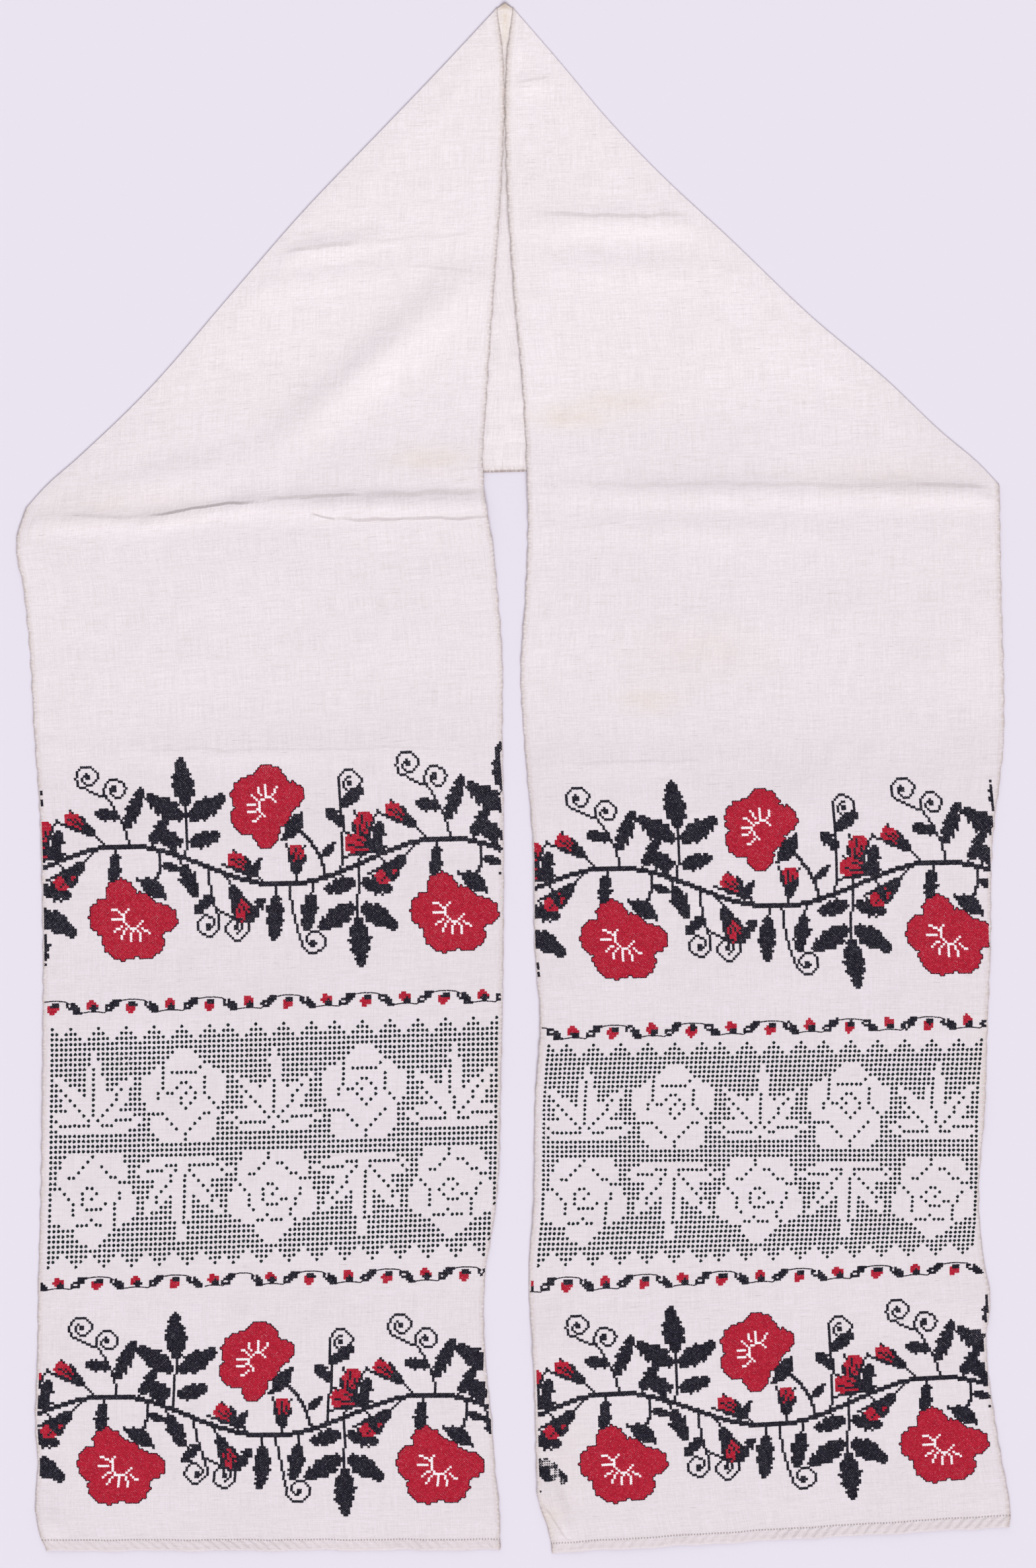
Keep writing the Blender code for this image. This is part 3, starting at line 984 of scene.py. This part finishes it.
# Where a chart lies on an arm: the level of its row 0, the distance of its column 0 from the
# left selvage, and the size of a stitch each way.
Place = namedtuple("Place", "arm level from_left across along")
FLOWERS = [  # each with its chart's repeat
    (Place(LEFT, -0.1620, 0.0013, STITCH, 0.001966), 139),
    (Place(LEFT, -0.6134, -0.0038, STITCH, 0.001867), 138),
    (Place(RIGHT, -0.1788, -0.0010, STITCH, 0.001932), 141),
    (Place(RIGHT, -0.6040, -0.0014, STITCH, 0.001848), 139),
]
VINES = [  # each with its first crest, its half wave, its bare crests and its climb
    (Place(LEFT, -0.1850, 0.0, STITCH, 0.00192), 4.6, 16.9, (), 0.0),
    (Place(LEFT, -0.4137, 0.0, STITCH, 0.00188), 25.6, 16.75, (4,), 0.0),
    (Place(RIGHT, -0.2062, 0.0, STITCH, 0.00190), -2.4, 17.05, (), 2.6),
    (Place(RIGHT, -0.4118, 0.0, STITCH, 0.00190), 16.5, 16.75, (), 0.0),
]
FILETS = [
    Place(LEFT, -0.4010, 0.0060, 0.003822, 0.00426),
    Place(RIGHT, -0.3990, 0.0060, 0.003720, 0.00388),
]

STATIONS = np.array([0.03, 0.5, 0.97])
STATION_RISE = np.array([0.10, 1.0, 0.10])
SIDES = np.array([-0.5, 0.0, 0.5])
SIDE_RISE = np.array([0.0, 1.0, 0.0])
MARGIN = 0.0008  # no stitch lies closer to a selvage


class Threads:
    """Short threads of one kind, gathered into one mesh."""

    def __init__(self, name):
        self.name, self.points, self.uvs, self.tones = name, [], [], []
        self.random = np.random.default_rng(len(name) * 7 + sum(map(ord, name)))

    def lay(self, place, starts, ends, rise, width=THREAD):
        """Threads from starts to ends, given in the chart's stitches."""
        if not len(starts):
            return
        along = starts[:, None] + (ends - starts)[:, None] * STATIONS[:, None]
        jitter = self.random.normal(0.0, 0.035, (len(starts), 1, 2))
        along = along + jitter
        x, y, z, share = place.arm.on_cloth(
            place.from_left + along[..., 0] * place.across, place.level + along[..., 1] * place.along
        )
        kept = (share.min(1) * WIDTH > MARGIN) & (share.max(1) * WIDTH < WIDTH - MARGIN)
        x, y, z = x[kept], y[kept], z[kept]
        run, climb = x[:, 2] - x[:, 0], y[:, 2] - y[:, 0]
        length = np.hypot(run, climb)[:, None, None]
        thick = width * self.random.normal(1.0, 0.07, len(x))[:, None, None]
        px = x[..., None] - (climb[:, None, None] / length) * SIDES * thick
        py = y[..., None] + (run[:, None, None] / length) * SIDES * thick
        height = rise * STATION_RISE[:, None] * SIDE_RISE + 0.00003
        pz = z[..., None] + height
        self.points.append(np.stack([px, py, pz], -1).reshape(-1, 3))
        flat = np.stack(np.broadcast_arrays(STATIONS[:, None] * length, SIDES * thick), -1)
        self.uvs.append(flat.reshape(-1, 2))
        self.tones.append(np.repeat(self.random.random(len(x)), 9))

    def crosses(self, place, chart, thread, swell=1.04, width=THREAD):
        """A cross in every cell of the chart that holds this thread."""
        rows, cols = np.nonzero(chart.cells == thread)
        middle = np.stack([cols + 0.5, rows + 0.5 + chart.low_row], -1)
        half = 0.5 * swell * np.array([1.0, 1.0])
        flip = half * [1, -1]
        self.lay(place, middle - half, middle + half, UNDER_RISE, width)
        self.lay(place, middle - flip, middle + flip, OVER_RISE, width)

    def piece(self, material):
        points = np.concatenate(self.points)
        count = len(points) // 9
        cell = np.array([[0, 1, 4, 3], [1, 2, 5, 4], [3, 4, 7, 6], [4, 5, 8, 7]])
        quads = (np.arange(count)[:, None, None] * 9 + cell).reshape(-1, 4)
        values = {"tone": np.concatenate(self.tones)}
        mesh = mesh_of(self.name, points, quads, np.concatenate(self.uvs), values)
        mesh.materials.append(material)
        made = bpy.data.objects.new(self.name, mesh)
        bpy.context.scene.collection.objects.link(made)
        return made


# ---------------------------------------------------------------- materials


class Nodes:
    """Short names for building a material's nodes."""

    def __init__(self, name):
        self.material = bpy.data.materials.new(name)
        self.material.use_nodes = True
        self.tree = self.material.node_tree
        self.shader = self.tree.nodes["Principled BSDF"]

    def new(self, kind, inputs=(), **settings):
        node = self.tree.nodes.new(kind)
        for name, value in settings.items():
            setattr(node, name, value)
        for key, value in dict(inputs).items():
            self.put(value, node.inputs[key])
        return node

    def put(self, value, socket):
        if isinstance(value, bpy.types.NodeSocket):
            self.tree.links.new(value, socket)
        else:
            socket.default_value = value

    def math(self, operation, *values):
        return self.new("ShaderNodeMath", dict(enumerate(values)), operation=operation).outputs[0]

    def times(self, first, second):
        return self.math("MULTIPLY", first, second)

    def plus(self, first, second):
        return self.math("ADD", first, second)

    def noise(self, vector, detail=2.0, roughness=0.55):
        inputs = {"Vector": vector, "Scale": 1.0, "Detail": detail, "Roughness": roughness}
        return self.new("ShaderNodeTexNoise", inputs).outputs["Fac"]

    def vector(self, operation, first, second):
        node = self.new("ShaderNodeVectorMath", {0: first, 1: second}, operation=operation)
        return node.outputs["Value" if operation == "DOT_PRODUCT" else "Vector"]

    def stretched(self, vector, *scale):
        return self.vector("MULTIPLY", vector, scale)

    def mix(self, factor, first, second, blend="MIX"):
        node = self.new("ShaderNodeMix", data_type="RGBA", blend_type=blend)
        for socket, value in ((0, factor), (6, first), (7, second)):
            self.put(value, node.inputs[socket])
        return node.outputs[2]

    def between(self, value, low, high):
        """0 below low, 1 above high."""
        inputs = {"Value": value, "From Min": low, "From Max": high}
        return self.new("ShaderNodeMapRange", inputs, clamp=True).outputs["Result"]

    def value(self, name):
        return self.new("ShaderNodeAttribute", attribute_name=name).outputs["Fac"]


# Sharp creases, too fine for the mesh: both ends, the drop across them and half their width.
Crease = namedtuple("Crease", "x0 y0 x1 y1 drop half_width")
CREASES = [
    Crease(-0.375, 0.2155, -0.300, 0.2170, 0.36, 0.0017),
    Crease(-0.304, 0.2160, -0.208, 0.2300, 1.25, 0.0013),
    Crease(-0.214, 0.2300, -0.120, 0.2345, 0.56, 0.0017),
    Crease(-0.125, 0.2345, -0.015, 0.2370, 0.48, 0.0028),
    Crease(-0.168, 0.2175, -0.146, 0.2120, 0.90, 0.0010),
    Crease(-0.158, 0.2125, -0.008, 0.2160, 0.85, 0.0015),
    Crease(-0.190, 0.4350, -0.125, 0.4430, 0.44, 0.0019),
    Crease(-0.125, 0.4430, -0.020, 0.4510, 0.20, 0.0017),
    Crease(-0.092, 0.4240, -0.030, 0.4180, 0.24, 0.0017),
    Crease(0.014, 0.4655, 0.150, 0.4640, 0.48, 0.0019),
    Crease(0.002, 0.5740, 0.030, 0.5800, 0.32, 0.0014),
    Crease(0.020, 0.2430, 0.330, 0.2420, 0.24, 0.0022),
    Crease(0.325, 0.2425, 0.400, 0.2400, 0.48, 0.0019),
    Crease(-0.330, 0.0230, -0.050, 0.0250, 0.20, 0.0014),
    Crease(0.030, 0.0120, 0.160, 0.0150, 0.24, 0.0014),
    Crease(0.024, -0.6000, 0.046, -0.6310, 0.80, 0.0011),
]


def crease_parts(m, crease):
    """A small step down across a crease, soft at both of its ends, and a line of painted shade along
    it.
    """
    place = m.new("ShaderNodeTexCoord").outputs["Object"]
    length = float(np.hypot(crease.x1 - crease.x0, crease.y1 - crease.y0))
    run, rise = (crease.x1 - crease.x0) / length, (crease.y1 - crease.y0) / length
    start = (crease.x0, crease.y0, 0)
    from_start = m.vector("SUBTRACT", place, start)
    along = m.vector("DOT_PRODUCT", from_start, (run, rise, 0))
    away = m.vector("DOT_PRODUCT", from_start, (-rise, run, 0))
    sway = m.math("SUBTRACT", m.noise(m.stretched(place, 26, 26, 0), 2.0), 0.5)
    away = m.plus(away, m.times(sway, 0.008))
    width = crease.half_width
    inside = m.times(
        m.between(along, 0.0, 0.2 * length), m.between(along, length, 0.8 * length)
    )
    inside = m.times(inside, crease.drop)
    fades = m.between(away, -9 * width, -width)
    step = m.times(m.between(away, width, -width), fades)
    # Painted shade: the dark line along the crease.
    line = m.between(m.math("ABSOLUTE", away), 1.1 * width, 0.2 * width)
    return m.times(step, inside), m.times(line, inside)


WEAVE = 0.00076  # from thread to thread
HOLE_PITCH = 0.00248  # of the hemstitch


SHADE = (0.44, 0.38, 0.36, 1)  # between the threads
# Painted light: the linen's colour at the worked ends, and a paler copy for the middle as if more
# light fell there.
WORKED_LINEN, LIT_LINEN = (0.772, 0.710, 0.740, 1), (0.870, 0.805, 0.818, 1)
TAN, BROWN = (0.78, 0.66, 0.51, 1), (0.48, 0.36, 0.28, 1)  # old stains, and painted shade at the peak
FINE_RELIEF, SOFT_RELIEF, TWIST_RELIEF = 0.00028, 0.0024, 0.00012  # depths of bump


def linen_material():
    """Homespun plain weave: uneven threads, slubs, grimy selvages and old stains, with painted shade
    in the creases, the hemstitch's holes, the peak and along the band's lower selvage, and painted
    light that makes the middle paler.
    """
    m = Nodes("linen")
    uv = m.new("ShaderNodeUVMap", uv_map="UVMap").outputs["UV"]
    parts = m.new("ShaderNodeSeparateXYZ", {0: uv})
    u, v = parts.outputs["X"], parts.outputs["Y"]
    weft = m.noise(m.stretched(uv, 42, 1150, 0), 2.0)
    warp = m.noise(m.stretched(uv, 1150, 38, 0), 2.0)
    weft_band = m.noise(m.stretched(uv, 9, 210, 0), 3.0)
    warp_band = m.noise(m.stretched(uv, 190, 7, 0), 3.0)
    grain = m.noise(m.stretched(uv, 430, 430, 0), 3.0)
    slub = m.between(m.noise(m.stretched(uv, 75, 900, 0), 1.0), 0.68, 0.80)
    slub_warp = m.between(m.noise(m.stretched(uv, 900, 60, 0), 1.0), 0.70, 0.82)
    patch = m.noise(m.stretched(uv, 9, 9, 0), 4.0)

    from_hem = m.math("MINIMUM", v, m.math("SUBTRACT", FLAT_LENGTH, v))
    beside_line = m.math("ABSOLUTE", m.math("SUBTRACT", from_hem, HEM_DEPTH))
    spots = m.between(m.math("SINE", m.times(u, 2 * pi / HOLE_PITCH)), -0.2, 0.5)
    # Painted shade in the hemstitch's holes: a dark dot at each, besides a small dent.
    holes = m.times(m.between(beside_line, 0.0009, 0.0003), spots)
    from_side = m.math("MINIMUM", u, m.math("SUBTRACT", WIDTH, u))
    frayed = m.noise(m.stretched(uv, 300, 520, 0), 3.0)
    # Painted shade: a dark line along the band's lower selvage.
    on_band = m.times(m.between(from_hem, 1.10, 1.18), m.between(u, 0.010, 0.006))
    unwashed = m.between(from_hem, 0.84, 0.94)
    side_dirt = m.times(m.between(from_side, 0.0052, 0.0), m.between(frayed, 0.33, 0.60))
    grime_and_band_shade = m.plus(m.times(unwashed, 0.10), m.times(on_band, 0.45))
    # A dark line at each selvage, darker in the unwashed middle, and painted shade along the band's
    # lower selvage.
    rim = m.times(m.between(from_side, 0.0019, 0.0009), m.plus(grime_and_band_shade, 0.14))

    # Painted light: paler towards the middle of the cloth.
    colour = m.mix(m.value("pale"), WORKED_LINEN, LIT_LINEN)
    blotches = m.between(m.noise(m.stretched(uv, 60, 90, 0), 3.0), 0.30, 0.62)
    stain_and_shade = m.times(m.value("stain_and_shade"), m.plus(m.times(blotches, 0.5), 0.35))
    # Tan and brown stains; at the peak this is painted shade in the curl and along the slit.
    colour = m.mix(stain_and_shade, colour, TAN)
    colour = m.mix(m.times(m.between(stain_and_shade, 0.45, 0.80), 0.6), colour, BROWN)
    hem_tint = m.times(m.between(from_hem, 0.014, 0.004), 0.16)
    colour = m.mix(hem_tint, colour, (0.52, 0.40, 0.34, 1))
    threads = m.plus(m.times(weft, 0.55), m.times(warp, 0.45))
    colour = m.mix(m.between(threads, 0.30, 0.60), m.mix(0.30, colour, (0.44, 0.38, 0.37, 1)), colour)
    broad = m.plus(m.times(weft_band, 0.6), m.times(warp_band, 0.4))
    colour = m.mix(m.between(broad, 0.36, 0.62), m.mix(0.05, colour, SHADE), colour)
    colour = m.mix(m.between(grain, 0.36, 0.60), m.mix(0.10, colour, SHADE), colour)
    slubs = m.math("MAXIMUM", slub, m.times(slub_warp, 0.6))
    colour = m.mix(m.times(slubs, 0.26), colour, (0.34, 0.29, 0.27, 1))
    colour = m.mix(m.between(patch, 0.35, 0.75), colour, m.mix(0.07, colour, (0.55, 0.45, 0.42, 1)))
    creased, crease_shade = 0.0, 0.0
    for crease in CREASES:
        step, line = crease_parts(m, crease)
        creased, crease_shade = m.plus(creased, step), m.math("MAXIMUM", crease_shade, line)
    # Painted shade: a dark brown line along each crease.
    colour = m.mix(m.times(crease_shade, 0.26), colour, (0.40, 0.31, 0.27, 1))
    colour = m.mix(m.times(side_dirt, 0.60), colour, (0.47, 0.37, 0.31, 1))
    # Dark selvage line: grime, and painted shade along the band's lower selvage.
    colour = m.mix(m.times(rim, m.between(frayed, 0.25, 0.50)), colour, (0.24, 0.17, 0.16, 1))
    # Painted shade in the hemstitch's holes.
    colour = m.mix(m.times(holes, 0.62), colour, (0.24, 0.19, 0.17, 1))
    m.put(colour, m.shader.inputs["Base Color"])
    m.shader.inputs["Roughness"].default_value = 0.9
    m.shader.inputs["Specular IOR Level"].default_value = 0.25

    shake = m.times(m.noise(m.stretched(uv, 160, 160, 0), 2.0), 1.6)
    over = m.math("SINE", m.plus(m.times(u, pi / WEAVE), shake))
    under = m.math("SINE", m.plus(m.times(v, pi / WEAVE), shake))
    weave = m.times(over, under)
    relief = m.plus(m.times(weave, 0.30), m.times(threads, 1.1))
    relief = m.plus(relief, m.times(slubs, 0.7))
    relief = m.math("SUBTRACT", relief, m.times(holes, 2.0))
    fine = m.new(
        "ShaderNodeBump", {"Height": relief, "Strength": 0.5, "Distance": FINE_RELIEF}
    ).outputs["Normal"]
    slant = m.plus(u, m.times(from_hem, 0.9))
    slant = m.plus(m.times(slant, 2 * pi / 0.0086), m.times(shake, 2.0))
    pucker = m.times(m.math("SINE", slant), m.between(from_hem, HEM_DEPTH, 0.0070))
    pucker = m.times(pucker, m.between(patch, 0.36, 0.60))
    crumple = m.noise(m.stretched(uv, 70, 34, 0), 3.0, 0.5)
    uneven = m.plus(crumple, m.times(pucker, 0.34))
    uneven = m.plus(uneven, creased)
    soft = m.new(
        "ShaderNodeBump", {"Height": uneven, "Strength": 0.5, "Distance": SOFT_RELIEF, "Normal": fine}
    ).outputs["Normal"]
    m.put(soft, m.shader.inputs["Normal"])
    return m.material


def thread_material(name, dark, light, fleck, fleck_share):
    """Matte two-ply cotton: each stitch a little different, with small paler flecks on top."""
    m = Nodes(name)
    uv = m.new("ShaderNodeUVMap", uv_map="UVMap").outputs["UV"]
    place = m.new("ShaderNodeTexCoord").outputs["Object"]
    tone = m.value("tone")
    colour = m.mix(tone, dark, light)
    pale_flecks = m.between(m.noise(m.stretched(place, 800, 800, 800), 1.0), 0.62, 0.74)
    colour = m.mix(m.times(pale_flecks, fleck_share), colour, fleck)
    m.put(colour, m.shader.inputs["Base Color"])
    m.shader.inputs["Roughness"].default_value = 0.8
    m.shader.inputs["Specular IOR Level"].default_value = 0.06
    twist = m.new(
        "ShaderNodeTexWave",
        {"Vector": uv, "Scale": 420.0, "Distortion": 1.0},
        bands_direction="DIAGONAL",
    ).outputs["Fac"]
    bump = m.new("ShaderNodeBump", {"Height": twist, "Strength": 0.5, "Distance": TWIST_RELIEF})
    m.put(bump.outputs["Normal"], m.shader.inputs["Normal"])
    return m.material


def floor_material():
    m = Nodes("pale_floor")
    m.shader.inputs["Base Color"].default_value = (0.735, 0.690, 0.762, 1)
    m.shader.inputs["Roughness"].default_value = 0.9
    return m.material


# ---------------------------------------------------------------- the making

linen = linen_material()
thread_of = {
    BLACK: thread_material(
        "black_thread", (0.007, 0.006, 0.011, 1), (0.022, 0.020, 0.030, 1), (0.15, 0.15, 0.20, 1), 0.35
    ),
    RED: thread_material(
        "red_thread", (0.33, 0.009, 0.024, 1), (0.46, 0.016, 0.038, 1), (0.66, 0.12, 0.16, 1), 0.45
    ),
    WHITE: thread_material(
        "white_thread", (0.80, 0.74, 0.75, 1), (0.90, 0.86, 0.87, 1), (0.92, 0.90, 0.90, 1), 0.4
    ),
    GREEN: thread_material(
        "grey_green_thread",
        (0.007, 0.011, 0.013, 1),
        (0.018, 0.025, 0.027, 1),
        (0.12, 0.15, 0.16, 1),
        0.30,
    ),
}

cloth = cloth_piece(linen)
filet = filet_chart()
pieces = []
for arm, side in ((LEFT, "left"), (RIGHT, "right")):
    worked = {
        BLACK: Threads(side + "_black_crosses"),
        RED: Threads(side + "_red_crosses"),
        WHITE: Threads(side + "_white_stamens"),
        GREEN: Threads(side + "_filet_crosses"),
    }
    lines = Threads(side + "_backstitches")
    for place, repeat in FLOWERS:
        if place.arm is arm:
            flowers = flower_chart(repeat)
            for thread in (BLACK, RED, WHITE):
                worked[thread].crosses(place, flowers, thread)
            lines.lay(place, *flowers.outline(), OUTLINE_RISE, LINE_WIDTH)
    for place, *shape in VINES:
        if place.arm is arm:
            vine, starts, ends = vine_chart(*shape)
            for thread in (BLACK, RED):
                worked[thread].crosses(place, vine, thread)
            lines.lay(place, starts, ends, VINE_RISE, LINE_WIDTH)
    for place in FILETS:
        if place.arm is arm:
            worked[GREEN].crosses(place, filet, GREEN, FILET_SWELL, FILET_THREAD)
    for thread, gathered in worked.items():
        made = gathered.piece(thread_of[thread])
        pieces.append(made)
    made = lines.piece(thread_of[BLACK])
    pieces.append(made)

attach(cloth, "root")
for made in pieces:
    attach(made, "root")
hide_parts("towel_cloth")


# ---------------------------------------------------------------- floor, light and camera


FLOOR_REACH = 6.0
FLOOR_BELOW = 0.0003  # just under the cloth, so that the two never meet


def add_floor():
    mesh = bpy.data.meshes.new("floor")
    corners = [(x * FLOOR_REACH, y * FLOOR_REACH, 0) for x, y in ((-1, -1), (1, -1), (1, 1), (-1, 1))]
    mesh.from_pydata(corners, [], [(0, 1, 2, 3)])
    mesh.materials.append(floor_material())
    floor = bpy.data.objects.new("floor", mesh)
    floor.location.z = -FLOOR_BELOW
    bpy.context.scene.collection.objects.link(floor)


def add_light(name, kind, place, power, **settings):
    """A lamp that looks at the middle of the cloth."""
    light = bpy.data.lights.new(name, kind)
    light.energy = power
    for setting, value in settings.items():
        setattr(light, setting, value)
    lamp = bpy.data.objects.new(name, light)
    lamp.location = place
    lamp.rotation_euler = (-Vector(place)).to_track_quat("-Z", "Y").to_euler()
    bpy.context.scene.collection.objects.link(lamp)


VIEW_MIDDLE = (0.0038, -0.0049)
VIEW_HEIGHT = 1.2957  # of the floor that the picture shows
CAMERA_ABOVE = 3.2
SENSOR = 36.0
SKY, SKY_STRENGTH = (0.93, 0.93, 1.0, 1), 0.45


def add_camera():
    """Straight above, with the long side of the picture along Y."""
    camera = bpy.data.cameras.new("camera")
    camera.sensor_width = SENSOR
    camera.lens = SENSOR * CAMERA_ABOVE / VIEW_HEIGHT
    seen = bpy.data.objects.new("camera", camera)
    seen.location = (*VIEW_MIDDLE, CAMERA_ABOVE)
    bpy.context.scene.collection.objects.link(seen)
    bpy.context.scene.camera = seen


add_floor()
add_light("key", "SUN", (0.5, -2.6, 2.9), 2.5, angle=radians(45))
add_light("fill", "SUN", (-0.6, 3.0, 1.7), 0.7, angle=radians(70))
add_camera()
world = bpy.data.worlds.new("studio")
world.use_nodes = True
background = world.node_tree.nodes["Background"].inputs
background["Color"].default_value = SKY
background["Strength"].default_value = SKY_STRENGTH
bpy.context.scene.world = world
bpy.context.scene.view_settings.view_transform = "Standard"
